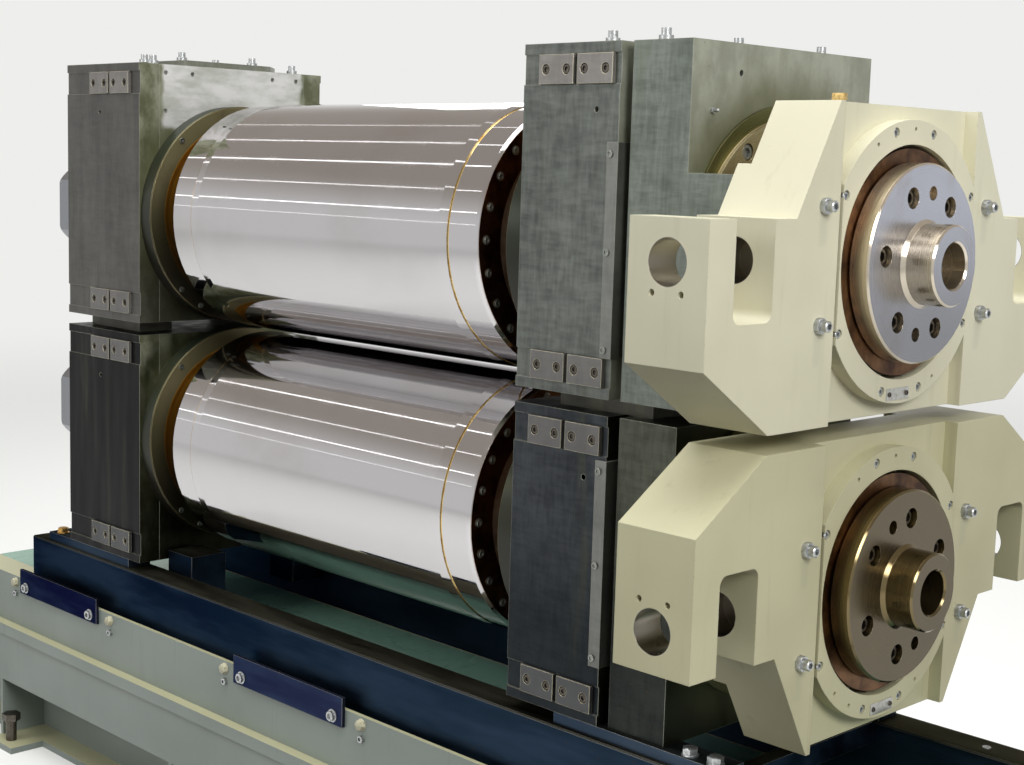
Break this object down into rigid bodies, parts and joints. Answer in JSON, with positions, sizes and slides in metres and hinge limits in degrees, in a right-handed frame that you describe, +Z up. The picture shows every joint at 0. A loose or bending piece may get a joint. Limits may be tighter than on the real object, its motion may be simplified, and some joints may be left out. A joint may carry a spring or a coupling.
{
  "type": "roll forming machine stand",
  "caption": "Forming mill roll unit: mirror rolls one above the other in bearing chocks, with clevis brackets and hub discs at one end, on rails and a low welded stand.",
  "frame": {"origin": "floor level under the middle of the roll barrels", "axes": "+X along the roll axes towards the hub discs, +Z up, front side at -Y"},
  "size_m": [2.9, 1.016, 1.783],
  "materials": {
    "roll_chrome": "mirror ground and hard chromed, thin oil film",
    "hub_steel": "turned steel with fine rings",
    "chock_steel": "ground and blackened steel with oil and rust marks",
    "seal_steel": "turned steel, oily, rust at the edges",
    "cream_paint": "cream machine enamel, chipped, oil runs",
    "rail_steel": "dark oily rolled steel",
    "clip_steel": "dark blue blackened steel",
    "stand_paint": "grey green enamel, dusty, oil stained",
    "bolt_zinc": "zinc plated screws"
  },
  "bodies": {
    "stand_unit": {"chock_left_upper": "chock_steel", "liners_left_upper": "chock_steel", "seal_ring_left_upper": "seal_steel", "end_cover_left_upper": "seal_steel", "chock_left_lower": "chock_steel", "liners_left_lower": "chock_steel", "seal_ring_left_lower": "seal_steel", "end_cover_left_lower": "seal_steel", "chock_right_upper": "chock_steel", "liners_right_upper": "chock_steel", "seal_ring_right_upper": "seal_steel", "end_cover_right_upper": "seal_steel", "chock_right_lower": "chock_steel", "liners_right_lower": "chock_steel", "seal_ring_right_lower": "seal_steel", "end_cover_right_lower": "seal_steel", "key_plates": "chock_steel", "top_plate": "chock_steel", "top_bolts": "bolt_zinc", "cover_strips": "chock_steel", "chock_spacers": "chock_steel", "bearing_block_upper": "cream_paint", "cover_ring_upper": "cream_paint", "side_plate_front_upper": "cream_paint", "side_plate_rear_upper": "cream_paint", "bearing_block_lower": "cream_paint", "cover_ring_lower": "cream_paint", "side_plate_front_lower": "cream_paint", "side_plate_rear_lower": "cream_paint", "rail_front": "rail_steel", "stand_beam_front": "stand_paint", "guide_strip_front": "stand_paint", "rail_rear": "rail_steel", "stand_beam_rear": "stand_paint", "guide_strip_rear": "stand_paint", "foot_blocks": "rail_steel", "rail_blocks": "rail_steel", "clip_plates": "clip_steel", "cross_beams": "stand_paint", "deck_plate": "stand_paint", "jack_bolts": "bolt_zinc"},
    "upper_roll": {"roll_upper": "roll_chrome", "hub_upper": "hub_steel"},
    "lower_roll": {"roll_lower": "roll_chrome", "hub_lower": "hub_steel"}
  },
  "joints": [
    {"name": "upper_roll_spin", "type": "hinge", "parent": "stand_unit", "child": "upper_roll", "pos_m": [0, 0, 1.403], "axis": [1, 0, 0], "continuous": true},
    {"name": "lower_roll_spin", "type": "hinge", "parent": "stand_unit", "child": "lower_roll", "pos_m": [0, 0, 0.877], "axis": [1, 0, 0], "continuous": true}
  ]
}
